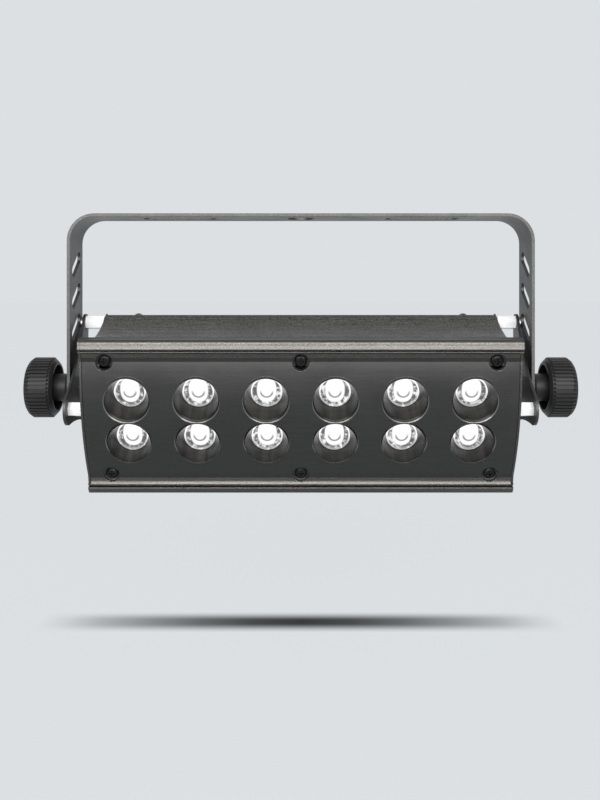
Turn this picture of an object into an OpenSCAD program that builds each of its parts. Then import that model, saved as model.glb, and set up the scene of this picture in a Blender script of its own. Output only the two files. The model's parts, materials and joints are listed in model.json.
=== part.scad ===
// Small LED strobe light bar in a hanging yoke.
// Millimetres. X runs along the bar, the lamps look towards -Y, +Z is up.
// The origin is the centre of the yoke's clamp hole, at the top face of the strip.

/* [Yoke] */
// Width of the yoke over its legs
yoke_w = 222.4; // [216:0.1:240]
// Width of the bent strip
strip_w = 25; // [22:0.5:30]
// Thickness of the strip
strip_t = 1.5; // [1:0.1:2.5]
// Height of the strip's top face above the tilt axis
yoke_drop = 83.8; // [75:0.1:120]
// Outer radius of the two bends
bend_r = 13; // [8:0.5:20]
// Diameter of the centre clamp hole
clamp_hole_d = 13; // [8:0.5:14]
// Distance between the centres of the two long slots
slot_pitch = 118; // [100:1:130]
// Length of a long slot over its round ends
slot_len = 36; // [20:1:44]
// Width of a long slot
slot_w = 9; // [6:0.5:12]
// Length of a slanted leg slot over its round ends
leg_slot_len = 18.5; // [12:0.5:20]
// Width of a slanted leg slot
leg_slot_w = 5.6; // [4.5:0.1:7]
// Slope of the leg slots
leg_slot_angle = 34; // [20:1:45]
// Height of the lowest leg slot above the tilt axis
leg_slot_z = 29.5; // [26:0.5:32]
// Step from one leg slot to the next
leg_slot_step = 15.2; // [13.5:0.1:18]

/* [Housing] */
// Length of the housing over its end plates
body_len = 196; // [190:1:196]
// Depth of the housing without the bulge of its front
body_depth = 61.5; // [58:0.5:66]
// Height of a front rail beyond the panel's edge
rail_h = 6; // [5.8:0.1:7]
// Wall of the housing in the middle of its scooped top and bottom
wall = 2.1; // [1.8:0.1:3]
// Thickness of the web that carries the lamp board
web_t = 3; // [2:0.5:5]
// Depth of the front rails
rail_depth = 7; // [6:0.5:9]
// Radius of the scooped top and bottom
scoop_r = 78; // [70:1:100]
// Distance from the rails' front to the lowest line of the scoop
scoop_at = 41; // [38:0.5:44]
// Number of fine grooves along the top and bottom
groove_count = 9; // [5:1:11]
// Step between the fine grooves
groove_step = 5.2; // [3.5:0.1:5.4]
// Width of a fine groove
groove_w = 0.6; // [0.4:0.1:1.6]
// Downward tilt of the housing as it hangs
tilt = 18; // [0:1:30]
// Distance from the rails' front to the tilt axis
pivot_depth = 38; // [36:0.5:40]
// Thickness of an end plate
end_plate_t = 1; // [0.8:0.1:2]

/* [Front panel] */
// Thickness of the curved panel
panel_t = 2.2; // [1.8:0.1:2.6]
// How far the middle of the panel stands in front of its edges
panel_bulge = 4; // [2:0.2:5]
// Height of the panel over its flat edges
panel_h = 63.4; // [62.6:0.2:64]
// Distance of the outer screws from the middle of the bar
screw_x = 87; // [86.5:0.1:87.5]
// Diameter of a screw recess
recess_d = 7.7; // [7:0.1:8]

/* [Lamps] */
// Lamps in one row
lamp_cols = 6; // [4:1:6]
// Step between the lamps of a row
lamp_pitch = 31; // [30:0.5:31]
// Distance between the two rows
row_pitch = 21.8; // [21.4:0.1:22.2]
// Mouth diameter of a lamp cup
cup_d = 19.7; // [18.5:0.1:20]
// Depth of a lamp cup in front of its lens
cup_depth = 9; // [8:0.2:10]
// Diameter of a lens over its rim
lens_d = 14.3; // [13:0.1:14.6]
// Height of a lens behind its rim
lens_h = 8; // [7:0.5:9]

/* [Side plates] */
// Gap between the housing's end and a side plate
standoff_len = 9; // [8.5:0.1:9]
// Width of a standoff across its flats
standoff_af = 6; // [5:0.1:6.5]
// Thickness of a side plate
plate_t = 1.2; // [1:0.1:1.5]
// Distance from the rails' front to the front standoff
lobe_front_r = 12.4; // [11:0.1:14]
// Radius of the front lobe
lobe_r = 7.4; // [7:0.1:9]
// Distance from the rails' front to the rear standoffs
lobe_rear_at = 57.3; // [56:0.1:57.5]
// Radius of a rear lobe
lobe_rear_r = 4.3; // [3.8:0.1:5]
// Radius of the plate's hollow upper and lower edges
plate_scoop_r = 90; // [50:1:100]
// Radius of the plate's hollow rear edge
plate_rear_r = 55; // [40:1:90]

/* [Hand knobs] */
// Diameter of a hand knob over its ribs
knob_d = 29.2; // [24:0.2:32]
// Thickness of a hand knob
knob_t = 13.5; // [10:0.5:15]
// Number of ribs round a hand knob
knob_ribs = 46; // [24:1:48]
// Diameter of the knob's hub
hub_d = 13.4; // [11:0.2:15]
// Length of the hub between yoke washer and knob
hub_len = 6; // [5:0.5:10]
// Diameter of the clamp stud
stud_d = 6; // [5:0.5:6]

/* [Rear controls] */
// Thickness of the rear panel
rear_t = 1.2; // [1:0.1:1.5]
// Place of the mains inlet along the bar
inlet_x = -62; // [-64:1:-60]
// Place of the fuse along the bar
fuse_x = -24; // [-26:1:-22]
// Place of the mode switch along the bar
switch_x = 2; // [0:1:4]
// Place of the speed control along the bar
speed_x = 30; // [28:1:32]
// Place of the sound control along the bar
sound_x = 54; // [52:1:55]
// Place of the microphone along the bar
mic_x = 74; // [72:1:76]
// Diameter of a control knob
dial_d = 15; // [12:0.5:17]
// Height of a control knob
dial_h = 12; // [9:0.5:14]

/* [Hidden] */
$fn = 64;
cut = 0.5;
face_gap = 0.1;
run_gap = 0.05;
slide_gap = 0.2;
seat_gap = 0.15;

// Housing section: r is the distance behind the rails' front, v the height from the middle
panel_half = panel_h / 2;
body_h = panel_h + 2 * rail_h;
body_half = body_h / 2;
scoop_half = panel_half - 4.6;
screw_v = panel_half - 4;
panel_front = 1.7;
flange_t = 3;
flange_out = 1;
ledge_r = panel_front + flange_t;
bead_h = rail_h - 2.1;
rail_edge = 0.4;
rail_crown = 2;
rail_crown_at = 2.8;
lip_t = 1.1;
lip_front = 0.5;
lip_bevel_v = 0.6;
lip_edge = 0.3;
rail_groove_r = 1.8;
rail_round = 1;
lobe_in = 2.1;
cavity_half = scoop_half - wall;
scoop_v = scoop_half + scoop_r;
function scoop_at_r(r) = scoop_v - sqrt(scoop_r * scoop_r - (r - scoop_at) * (r - scoop_at));
groove_first = scoop_at - groove_step * 5.5;
groove_deep = 0.4;
lobe_rear_v = scoop_at_r(lobe_rear_at) - lobe_in;

// Panel arc through the flat edges' inner ends and the bulge in the middle
crease_v = screw_v + 0.15;
arc_r = (crease_v * crease_v + panel_bulge * panel_bulge) / (2 * panel_bulge);
arc_at = panel_front - panel_bulge + arc_r;
function panel_at_v(v) = arc_at - sqrt(arc_r * arc_r - v * v);

// Lamps, from front to back
row_v = row_pitch / 2;
cup_front = panel_at_v(row_v);
lens_front = cup_front + cup_depth;
cup_wall = 0.9;
cup_bevel = 0.6;
rim_t = 1.4;
lens_back_d = 6.4;
led_front = lens_front + rim_t + lens_h;
led_t = 1.8;
led_w = 3.5;
led_dome_d = 2.6;
board_front = led_front + face_gap + led_t;
board_t = 1.6;
pad_t = 0.5;
web_front = board_front + board_t + pad_t;
web_back = web_front + web_t;
board_len = 180;
board_h = 2 * cavity_half - 4;
carrier_t = 2;
carrier_front = lens_front + rim_t + 1;
carrier_h = 2 * cavity_half - 6;
carrier_len = 180;
post_d = 4;
LAMPS = [for (row = [1, -1]) for (col = [0 : lamp_cols - 1]) [(col - (lamp_cols - 1) / 2) * lamp_pitch, row * row_v]];

// Places along the bar
end_x = body_len / 2;
extrusion_x = end_x - end_plate_t;
plate_x = end_x + standoff_len;
plate_out_x = plate_x + plate_t;
leg_out_x = yoke_w / 2;
leg_in_x = leg_out_x - strip_t;
washer_t = 1.2;
hub_x = leg_out_x + face_gap + washer_t;
knob_x = hub_x + hub_len;
knob_out_x = knob_x + knob_t;
rib_h = 0.9;
rib_share = 0.52;
root_r = knob_d / 2 - rib_h;
lip_r = knob_d / 2 - 2.4;
lip_w = 1.2;
lip_bevel = 1.3;
face_bevel = 2.6;
knob_face_t = 4;
hub_flare = 0.6;

// Fasteners
m3_d = 3;
m3_hole_d = m3_d + 2 * slide_gap;
m3_tap_d = m3_d + 2 * run_gap;
head_d = 5.6;
head_h = 2;
panel_screw_len = 5;
screw_floor_t = 0.8;
stud_len = 6;
nut_af = 5.5;
nut_h = 2.4;
pivot_nut_af = 10;
pivot_nut_h = 5;
end_screw_r = 10;
end_screw_v = cavity_half + 4.5;
plate_head_h = 1.2;
recess_t = 0.8;
recess_w = 3;
end_head_h = 1.3;
rear_screw_x = 82;
pad_w = 7;
STANDOFFS = [[lobe_front_r, 0], [lobe_rear_at, lobe_rear_v], [lobe_rear_at, -lobe_rear_v]];
PANEL_SCREWS = [for (v = [1, -1]) for (x = [-1, 0, 1]) [x * screw_x, v * screw_v]];
REAR_SCREWS = [for (v = [1, -1]) for (x = [1, -1]) [x * rear_screw_x, v * lobe_rear_v]];

// Rear panel and what it carries
rear_in = body_depth - rear_t;
rear_half = scoop_at_r(rear_in) - slide_gap;
inlet_w = 50;
inlet_h = 23;
inlet_t = 3;
inlet_body_w = 28;
inlet_body_h = 20.4;
inlet_body_deep = 22;
inlet_screw_pitch = 40;
socket_w = 24.4;
socket_h = 16.6;
socket_deep = 17;
socket_corner = 4;
pin_len = 12;
pin_w = 4;
pin_t = 2;
PINS = [[0, 3], [7, -1], [-7, -1]];
fuse_hole_d = 12;
fuse_deep = 24;
fuse_flange_d = 15;
fuse_flange_t = 1.5;
fuse_bore_d = 9.2;
fuse_cap_d = 13;
fuse_cap_h = 6;
cap_grips = 12;
cap_grip_w = 1.4;
cap_grip_out = 0.9;
coin_slot = [8, 1.6, 1.2];
fuse_in = 1;
fuse_stem_d = fuse_bore_d - 2 * run_gap;
fuse_stem_len = 6;
fuse_d = 5.2;
fuse_len = 20;
switch_w = 15;
switch_h = 21;
switch_t = 1.8;
switch_body_w = 13;
switch_body_h = 19;
switch_deep = 14;
rocker_w = 9.6;
rocker_h = 15.6;
rocker_tilt = 8;
rocker_deep = 5;
rocker_pin_d = 2;
rocker_pin_in = 1.5;
rocker_pocket = 2;
rocker_foot = 4;
rocker_horn = 4.4;
rocker_waist = 2.6;
board2_front = rear_in - 8.7;
pot_d = 15.6;
bush_d = 7;
bush_len = 5;
bush_nut_af = 10;
bush_nut_h = 1.8;
shaft_d = 6;
shaft_out = 13;
dial_gap = 0.5;
dial_bevel = 1;
dial_flutes = 18;
dial_flute_d = 1.6;
dial_foot = 2;
pointer_w = 0.8;
pointer_deep = 0.6;
mic_d = 9.7;
mic_hole_d = 5;
board2_len = 78;
board2_h = 2 * cavity_half - 10;
board2_x = (speed_x + mic_x) / 2 + 3;
power_len = 100;
power_x = -34;
power_h = 2 * cavity_half - 6;
board_post_d = 5;
board_post_in = 4.5;
transformer = [24, 22, 14];
transformer_x = switch_x - 4;
capacitor_d = 10;
capacitor_h = 9;
capacitor_at = [7, 8];
driver = [18, 10, 5];
driver_at = [fuse_x - 3, -10];
chip = [18, 10, 2.4];
power_front = web_back + 3;

// Helpers

// Carries its children from the housing's own frame to the tilted rest pose
module in_housing() {
    translate([0, 0, -yoke_drop]) rotate([tilt, 0, 0]) translate([0, -pivot_depth, 0]) children();
}

// Puts what is drawn for the right end at the right (side 1) or at the left (side -1)
module at_side(side) {
    if (side > 0) {
        children();
    } else {
        mirror([1, 0, 0]) children();
    }
}

// Extrudes a section of r and v from x0 to x1 along the bar
module along_bar(x0, x1) {
    translate([x0, 0, 0]) rotate([90, 0, 90]) linear_extrude(height = x1 - x0) children();
}

// Extrudes a face drawn in x and v backwards from r0 to r1
module backwards(r0, r1) {
    translate([0, r1, 0]) rotate([90, 0, 0]) linear_extrude(height = r1 - r0) children();
}

// Rod along r from r0 to r1
module rod(x, v, d, r0, r1) {
    translate([x, r1, v]) rotate([90, 0, 0]) cylinder(d = d, h = r1 - r0);
}

// Cone along r from r0 to r1
module cone(x, v, d0, d1, r0, r1) {
    translate([x, r1, v]) rotate([90, 0, 0]) cylinder(d1 = d1, d2 = d0, h = r1 - r0);
}

// Rod along the bar from x0 to x1
module bar(r, v, d, x0, x1) {
    translate([x0, r, v]) rotate([0, 90, 0]) cylinder(d = d, h = x1 - x0);
}

// Hexagonal bar with two flats level, from x0 to x1
module hex_bar(r, v, af, x0, x1) {
    translate([x0, r, v]) rotate([0, 90, 0]) cylinder(d = af / cos(30), h = x1 - x0, $fn = 6);
}

// Flat shape with round ends, lying along x
module obround(len, w) {
    for (s = [1, -1]) translate([s * (len - w) / 2, 0]) circle(d = w);
    square([len - w, w], center = true);
}

// Rectangle with rounded corners
module rounded_box(w, h, r) {
    for (x = [1, -1]) for (y = [1, -1]) translate([x * (w / 2 - r), y * (h / 2 - r)]) circle(r = r);
    square([w - 2 * r, h], center = true);
    square([w, h - 2 * r], center = true);
}

// Block of width, height and depth on a centre [x, v], its front at r0
module block(at, size, r0) {
    translate([at[0] - size[0] / 2, r0, at[1] - size[1] / 2]) cube([size[0], size[2], size[1]]);
}

// Yoke

// Bent strip seen from the front, outside minus inside
module yoke_bend() {
    inner_r = bend_r - strip_t;
    difference() {
        union() {
            translate([-leg_out_x, -yoke_drop]) square([yoke_w, yoke_drop - bend_r]);
            translate([-leg_out_x + bend_r, -bend_r - cut]) square([yoke_w - 2 * bend_r, bend_r + cut]);
            for (s = [1, -1]) translate([s * (leg_out_x - bend_r), -bend_r]) circle(r = bend_r);
        }
        translate([-leg_in_x, -yoke_drop - cut]) square([2 * leg_in_x, yoke_drop - bend_r + cut]);
        translate([-leg_out_x + bend_r, -bend_r - cut]) square([yoke_w - 2 * bend_r, inner_r + cut]);
        for (s = [1, -1]) translate([s * (leg_out_x - bend_r), -bend_r]) circle(r = inner_r);
    }
}

module yoke() {
    color([0.17, 0.17, 0.17])
    difference() {
        union() {
            translate([0, strip_w / 2, 0]) rotate([90, 0, 0]) linear_extrude(height = strip_w) yoke_bend();
            for (s = [1, -1]) at_side(s) bar(0, -yoke_drop, strip_w, leg_in_x, leg_out_x);
        }
        translate([0, 0, -strip_t - cut]) cylinder(d = clamp_hole_d, h = strip_t + 2 * cut);
        for (s = [1, -1]) {
            translate([s * slot_pitch / 2, 0, -strip_t - cut])
                linear_extrude(height = strip_t + 2 * cut) obround(slot_len, slot_w);
            at_side(s) bar(0, -yoke_drop, stud_d + 2 * run_gap, leg_in_x - cut, leg_out_x + cut);
            for (i = [0 : 2]) leg_slot(s, leg_slot_z + i * leg_slot_step);
        }
    }
}

// One slanted slot through a leg, its rear end the higher
module leg_slot(side, z) {
    at_side(side) translate([leg_in_x - cut, 0, z - yoke_drop]) rotate([90, 0, 90])
        linear_extrude(height = strip_t + 2 * cut) rotate(leg_slot_angle) obround(leg_slot_len, leg_slot_w);
}

// Housing sections, drawn in r and v

// One front rail: sloping face with a round crown, the fine groove and the bevelled lip at the panel's edge
module rail_section() {
    bead_v = body_half - bead_h;
    lip_v = panel_half + slide_gap;
    edge = [rail_edge, bead_v + rail_edge];
    crown = [rail_crown_at, body_half - rail_crown];
    step = crown - edge;
    len = norm(step);
    along = step / len;
    lean = (rail_edge - rail_crown) / len;
    face = lean * along + sqrt(1 - lean * lean) * [-along[1], along[0]];
    translate(edge) circle(r = rail_edge);
    translate(crown) circle(r = rail_crown);
    translate([rail_depth - rail_round, body_half - rail_round]) circle(r = rail_round);
    polygon([[rail_edge, bead_v], edge, edge + rail_edge * face, crown + rail_crown * face, crown,
             [rail_crown_at, body_half], [rail_depth - rail_round, body_half],
             [rail_depth - rail_round, body_half - rail_round], [rail_depth, body_half - rail_round], [rail_depth, bead_v]]);
    polygon([[panel_front, lip_v], [lip_front, lip_v + lip_bevel_v], [lip_front, lip_v + lip_t - lip_edge],
             [lip_front + lip_edge, lip_v + lip_t], [rail_depth, lip_v + lip_t], [rail_depth, lip_v]]);
    translate([rail_groove_r, lip_v]) square([rail_depth - rail_groove_r, bead_v - panel_half]);
}

// Outline behind the panel: block with hollow top and bottom, and the rails
module body_section(back) {
    difference() {
        translate([ledge_r, -body_half + rail_round]) square([back - ledge_r, body_h - 2 * rail_round]);
        for (s = [1, -1]) translate([scoop_at, s * scoop_v]) circle(r = scoop_r, $fn = 180);
    }
    rail_section();
    mirror([0, 1]) rail_section();
}

module fine_grooves() {
    for (i = [0 : groove_count - 1]) {
        r = groove_first + (i + 0.5) * groove_step;
        for (s = [1, -1])
            translate([r, s * scoop_at_r(r)]) square([groove_w, 2 * groove_deep], center = true);
    }
}

// Space inside, in front of the web and behind it, with pads left in the rear corners
module body_space() {
    translate([ledge_r - cut, -cavity_half]) square([web_front - ledge_r + cut, 2 * cavity_half]);
    difference() {
        translate([web_back, -cavity_half]) square([rear_in - web_back + cut, 2 * cavity_half]);
        for (s = [1, -1]) translate([rear_in - pad_w / 2 + cut / 2, s * (cavity_half + 1)])
            square([pad_w + cut, 5], center = true);
    }
}

module housing_extrusion() {
    color([0.22, 0.22, 0.21])
    in_housing() difference() {
        along_bar(-extrusion_x, extrusion_x) difference() {
            body_section(rear_in);
            body_space();
            fine_grooves();
        }
        for (s = [1, -1]) at_side(s) {
            for (v = [1, -1]) {
                bar(lobe_rear_at, v * lobe_rear_v, m3_tap_d, extrusion_x - stud_len - cut, extrusion_x + cut);
                bar(end_screw_r, v * end_screw_v, m3_tap_d, extrusion_x - stud_len - cut, extrusion_x + cut);
            }
        }
        for (p = PANEL_SCREWS) rod(p[0], p[1], m3_tap_d, ledge_r - cut, ledge_r + panel_screw_len + cut);
        for (p = REAR_SCREWS) rod(p[0], p[1], m3_tap_d, rear_in - panel_screw_len - cut, rear_in + cut);
    }
}

// Front panel

// Solid bulge of the front, drawn in r and v
module bulge_section() {
    intersection() {
        translate([arc_at, 0]) circle(r = arc_r, $fn = 240);
        translate([panel_front - panel_bulge - cut, flange_out - panel_half])
            square([panel_bulge + cut + flange_t / 2, 2 * (panel_half - flange_out)]);
    }
}

// Curved sheet between two flat edges
module panel_section() {
    difference() {
        union() {
            bulge_section();
            translate([panel_front, -panel_half]) square([flange_t, 2 * panel_half]);
        }
        intersection() {
            translate([arc_at, 0]) circle(r = arc_r - panel_t, $fn = 240);
            translate([-panel_bulge, -cavity_half]) square([2 * body_depth, 2 * cavity_half]);
        }
    }
}

// Space of one lamp cup: bevelled mouth, cone and the lens's seat, along z from the panel's face
module cup_space() {
    over = 3;
    mouth_r = cup_d / 2;
    seat_r = lens_d / 2 + slide_gap;
    rotate_extrude() polygon([[0, -over], [mouth_r + cup_bevel + over, -over], [mouth_r, cup_bevel],
                              [seat_r, cup_depth], [seat_r, cup_depth + rim_t + cut], [0, cup_depth + rim_t + cut]]);
}

module front_panel() {
    recess_floor = ledge_r - screw_floor_t;
    cup_back = lens_front + rim_t;
    color([0.19, 0.19, 0.19])
    in_housing() difference() {
        union() {
            along_bar(-extrusion_x + slide_gap, extrusion_x - slide_gap) panel_section();
            for (p = LAMPS)
                cone(p[0], p[1], cup_d + 2 * cup_wall, lens_d + 2 * slide_gap + 2 * cup_wall, cup_front + panel_t / 2, cup_back);
        }
        for (p = LAMPS) translate([p[0], cup_front, p[1]]) rotate([-90, 0, 0]) cup_space();
        for (p = PANEL_SCREWS) {
            rod(p[0], p[1], recess_d, -panel_bulge, recess_floor);
            rod(p[0], p[1], m3_hole_d, recess_floor - cut, ledge_r + cut);
        }
    }
}

// Cross cut into a head whose top is at x1, for a screw along the bar
module end_recess(r, v, x1) {
    for (a = [0, 90]) translate([x1, r, v]) rotate([a, 0, 0]) cube([2 * recess_t, recess_w, recess_t], center = true);
}

// Pan head screw along r, its head towards the front
module front_screw(x, v, seat, len) {
    difference() {
        union() {
            rod(x, v, head_d, seat - head_h * 0.6, seat);
            cone(x, v, head_d * 0.7, head_d, seat - head_h, seat - head_h * 0.6);
            rod(x, v, m3_d, seat - run_gap, seat + len);
        }
        cross_recess(x, v, seat - head_h);
    }
}

// Cross recess cut into a head whose top is at r0
module cross_recess(x, v, r0) {
    arm = 3;
    arm_w = 0.8;
    deep = 1.1;
    for (a = [0, 90]) translate([x, r0, v]) rotate([0, a, 0]) cube([arm, 2 * deep, arm_w], center = true);
}

module panel_screws() {
    color([0.06, 0.06, 0.06])
    in_housing() for (p = PANEL_SCREWS) front_screw(p[0], p[1], ledge_r - screw_floor_t, screw_floor_t + panel_screw_len);
}

// Lamps

// Moulded lens: rim, sunk ring round a domed eye, and a tapered body hollowed over its lamp
module lens(i) {
    rim_r = lens_d / 2;
    lip = 0.6;
    eye_r = 4.4;
    eye_rise = 1.3;
    dish = 1.2;
    dome_r = (eye_r * eye_r + eye_rise * eye_rise) / (2 * eye_rise);
    p = LAMPS[i];
    color([0.9, 0.93, 0.96])
    in_housing() translate([p[0], lens_front, p[1]]) rotate([-90, 0, 0])
        rotate_extrude() difference() {
            polygon([[0, 0], [rim_r, 0], [rim_r, rim_t], [rim_r - lip, rim_t], [lens_back_d / 2, rim_t + lens_h],
                     [0, rim_t + lens_h]]);
            difference() {
                translate([0, -cut]) square([rim_r - lip, dish + cut]);
                intersection() {
                    translate([0, dish - eye_rise + dome_r]) circle(r = dome_r);
                    square([eye_r, 2 * dish]);
                }
            }
            translate([0, rim_t + lens_h]) circle(d = led_dome_d + 1);
        }
}

// Taper of the lens body as a cut, grown by the seat gap
function lens_d_at(r) = lens_d - 1.2 - (lens_d - 1.2 - lens_back_d) * (r - lens_front - rim_t) / lens_h;

module lens_carrier() {
    back = carrier_front + carrier_t;
    color([0.1, 0.1, 0.1])
    in_housing() difference() {
        union() {
            backwards(carrier_front, back) rounded_box(carrier_len, carrier_h, 3);
            for (i = [0 : lamp_cols - 2]) rod((i - (lamp_cols - 2) / 2) * lamp_pitch, 0, post_d, back - cut, board_front);
        }
        for (p = LAMPS) cone(p[0], p[1], lens_d_at(carrier_front - cut) + 2 * seat_gap, lens_d_at(back + cut) + 2 * seat_gap,
                             carrier_front - cut, back + cut);
    }
}

module led_emitters() {
    color([0.95, 0.93, 0.75])
    in_housing() for (p = LAMPS) {
        translate([p[0], board_front - led_t / 4, p[1]]) cube([led_w, led_t / 2, led_w], center = true);
        rod(p[0], p[1], led_dome_d, board_front - led_t, board_front - led_t / 4);
    }
}

module led_board() {
    color([0.88, 0.88, 0.86])
    in_housing() backwards(board_front, board_front + board_t) rounded_box(board_len, board_h, 2);
}

module thermal_pad() {
    color([0.62, 0.66, 0.72])
    in_housing() backwards(board_front + board_t, web_front) rounded_box(board_len - 4, board_h - 2, 2);
}

// Boards behind the web

module power_board() {
    back = power_front + board_t;
    color([0.1, 0.35, 0.18])
    in_housing() {
        for (x = [1, -1]) for (v = [1, -1])
            rod(power_x + x * (power_len / 2 - board_post_in), v * (power_h / 2 - board_post_in), board_post_d,
                web_back, power_front);
        block([power_x, 0], [power_len, power_h, board_t], power_front);
        block([transformer_x, 0], transformer, back);
        for (x = [1, -1]) rod(inlet_x + x * capacitor_at[0], capacitor_at[1], capacitor_d, back, back + capacitor_h);
        block(driver_at, driver, back);
    }
}

module control_board() {
    front = board2_front - board_t;
    color([0.1, 0.35, 0.18])
    in_housing() {
        block([board2_x, 0], [board2_len, board2_h, board_t], front);
        for (x = [1, -1]) for (v = [1, -1])
            rod(board2_x + x * (board2_len / 2 - board_post_in), v * (board2_h / 2 - board_post_in), board_post_d,
                board2_front, rear_in);
        block([board2_x, 0], chip, front - chip[2]);
    }
}

// Ends

// Full outline of the housing with the curved front, drawn in r and v
module end_section() {
    body_section(body_depth);
    bulge_section();
    translate([panel_front, -panel_half - slide_gap - cut]) square([2 * ledge_r, panel_h + 2 * slide_gap + 2 * cut]);
}

module end_plate(side) {
    color([0.2, 0.2, 0.2])
    in_housing() at_side(side) difference() {
        along_bar(extrusion_x, end_x) end_section();
        for (p = STANDOFFS) bar(p[0], p[1], m3_hole_d, extrusion_x - cut, end_x + cut);
        for (v = [1, -1]) bar(end_screw_r, v * end_screw_v, m3_hole_d, extrusion_x - cut, end_x + cut);
    }
}

module end_screws(side) {
    color([0.1, 0.1, 0.1])
    in_housing() at_side(side) for (v = [1, -1]) difference() {
        union() {
            bar(end_screw_r, v * end_screw_v, head_d, end_x, end_x + end_head_h);
            bar(end_screw_r, v * end_screw_v, m3_d, extrusion_x - stud_len, end_x + run_gap);
        }
        end_recess(end_screw_r, v * end_screw_v, end_x + end_head_h);
    }
}

// Hex standoffs, each with a stud through the end plate; the front one has a nut inside
module standoffs(side) {
    color([0.86, 0.86, 0.87])
    in_housing() at_side(side) for (p = STANDOFFS) difference() {
        union() {
            hex_bar(p[0], p[1], standoff_af, end_x, plate_x);
            bar(p[0], p[1], m3_d, extrusion_x - (p[1] == 0 ? nut_h : stud_len), end_x + run_gap);
            if (p[1] == 0) hex_bar(p[0], p[1], nut_af, extrusion_x - nut_h, extrusion_x);
        }
        bar(p[0], p[1], m3_tap_d, plate_x - standoff_len * 0.75, plate_x + cut);
    }
}

// Centre of a circle of radius r that touches two round lobes from outside
function outer_touch(p1, r1, p2, r2, r, turn) =
    let (d = p2 - p1, l = norm(d), a = r + r1, b = r + r2,
         t = (l * l + a * a - b * b) / (2 * l), h = sqrt(a * a - t * t), u = d / l)
    p1 + u * t + turn * h * [-u[1], u[0]];

// Middle of the three-lobed plate, its hollow edges touching the lobes, drawn in r and v
module plate_core() {
    blend = 0.01;
    front = STANDOFFS[0];
    top = STANDOFFS[1];
    low = STANDOFFS[2];
    upper = outer_touch(front, lobe_r, top, lobe_rear_r, plate_scoop_r, 1);
    lower = outer_touch(front, lobe_r, low, lobe_rear_r, plate_scoop_r, -1);
    behind = outer_touch(top, lobe_rear_r, low, lobe_rear_r, plate_rear_r, 1);
    difference() {
        polygon([front, upper, top, behind, low, lower]);
        translate(upper) circle(r = plate_scoop_r + blend, $fn = 180);
        translate(lower) circle(r = plate_scoop_r + blend, $fn = 180);
        translate(behind) circle(r = plate_rear_r + blend, $fn = 180);
    }
}

module side_plate(side) {
    color([0.2, 0.2, 0.2])
    in_housing() at_side(side) difference() {
        union() {
            along_bar(plate_x, plate_out_x) plate_core();
            for (p = STANDOFFS) bar(p[0], p[1], 2 * (p[1] == 0 ? lobe_r : lobe_rear_r), plate_x, plate_out_x);
        }
        for (p = STANDOFFS) bar(p[0], p[1], m3_hole_d, plate_x - cut, plate_out_x + cut);
        bar(pivot_depth, 0, stud_d + 2 * slide_gap, plate_x - cut, plate_out_x + cut);
    }
}

module plate_screws(side) {
    color([0.75, 0.75, 0.76])
    in_housing() at_side(side) for (p = STANDOFFS) difference() {
        union() {
            bar(p[0], p[1], head_d, plate_out_x, plate_out_x + plate_head_h);
            bar(p[0], p[1], m3_d, plate_x - standoff_len / 2, plate_out_x + run_gap);
        }
        end_recess(p[0], p[1], plate_out_x + plate_head_h);
    }
}

module pivot_nut(side) {
    color([0.75, 0.75, 0.76])
    in_housing() at_side(side) difference() {
        hex_bar(pivot_depth, 0, pivot_nut_af, plate_x - pivot_nut_h, plate_x);
        bar(pivot_depth, 0, stud_d + 2 * run_gap, plate_x - pivot_nut_h - cut, plate_x + cut);
    }
}

module friction_washer(side) {
    color([0.08, 0.08, 0.08])
    in_housing() at_side(side) difference() {
        bar(pivot_depth, 0, strip_w * 0.7, plate_out_x, leg_in_x - face_gap);
        bar(pivot_depth, 0, stud_d + 2 * slide_gap, plate_out_x - cut, leg_in_x + cut);
    }
}

// Hand knobs, about the tilt axis

// Places its children on the tilt axis, x along the bar
module at_pivot(side) {
    translate([0, 0, -yoke_drop]) at_side(side) children();
}

// Ribbed rim round a deep ring hollow, with a hub that reaches the washer
module hand_knob(side) {
    color([0.09, 0.09, 0.09])
    at_pivot(side) translate([hub_x, 0, 0]) rotate([0, 90, 0]) {
        rotate_extrude() difference() {
            union() {
                square([hub_d / 2, hub_len + cut]);
                polygon([[hub_d / 2 - cut, 0], [hub_d / 2 + hub_flare, 0], [hub_d / 2, hub_flare * 2], [hub_d / 2 - cut, hub_flare * 2]]);
                polygon([[0, hub_len], [lip_r, hub_len], [root_r, hub_len + lip_bevel], [root_r, hub_len + knob_t - face_bevel],
                         [root_r + rib_h - face_bevel, hub_len + knob_t], [0, hub_len + knob_t]]);
            }
            translate([hub_d / 2, hub_len - cut]) square([lip_r - lip_w - hub_d / 2, knob_t - knob_face_t + cut]);
            translate([0, -cut]) square([stud_d / 2, hub_len + knob_t - knob_face_t + cut]);
        }
        for (i = [0 : knob_ribs - 1]) rotate(i * 360 / knob_ribs) knob_rib();
    }
}

// One rib along the rim, bevelled at both ends
module knob_rib() {
    w = PI * knob_d / knob_ribs * rib_share;
    near = hub_len + lip_bevel;
    far = hub_len + knob_t - face_bevel;
    rotate([90, 0, 0]) translate([0, 0, -w / 2]) linear_extrude(height = w)
        polygon([[root_r - rib_h, near + rib_h], [root_r - 0.15, near + 0.1], [root_r + rib_h, near + rib_h],
                 [root_r + rib_h, far], [root_r - rib_h / 2, far + 2 * rib_h], [root_r - 1.7 * rib_h, far + 2 * rib_h],
                 [root_r - rib_h, far]]);
}

module knob_stud(side) {
    reach = plate_x - pivot_nut_h - 1;
    color([0.7, 0.7, 0.71])
    at_pivot(side) bar(0, 0, stud_d, reach, knob_out_x - knob_face_t);
}

module knob_washer(side) {
    color([0.7, 0.7, 0.71])
    at_pivot(side) difference() {
        bar(0, 0, hub_d + 1, leg_out_x + face_gap, hub_x);
        bar(0, 0, stud_d + 2 * run_gap, leg_out_x, hub_x + cut);
    }
}

// Rear panel and controls

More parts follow.
